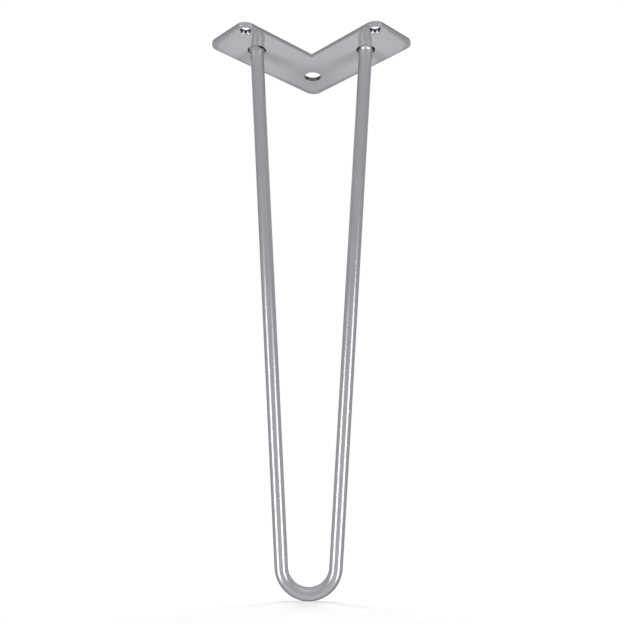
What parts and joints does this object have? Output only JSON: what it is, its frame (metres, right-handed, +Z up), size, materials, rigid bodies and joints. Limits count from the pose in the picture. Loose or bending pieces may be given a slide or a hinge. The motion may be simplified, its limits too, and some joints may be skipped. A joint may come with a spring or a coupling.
{
  "type": "hairpin table leg",
  "caption": "Slim splayed table leg: a round steel rod bent into a hairpin and welded under a V-shaped corner plate with screw holes.",
  "frame": {"origin": "middle of the elbow hole, in the plate's upper face, which lies against the table", "axes": "+Z up into the table, +Y towards the table's corner, where the foot points, +X to the side of the right arm"},
  "size_m": [0.149, 0.1085, 0.406],
  "materials": {
    "plate": "satin",
    "rod": "satin",
    "weld": "gloss"
  },
  "bodies": {
    "root": {"mounting_plate": "plate", "hairpin_rod": "rod", "weld_left": "weld", "weld_right": "weld"}
  },
  "joints": []
}
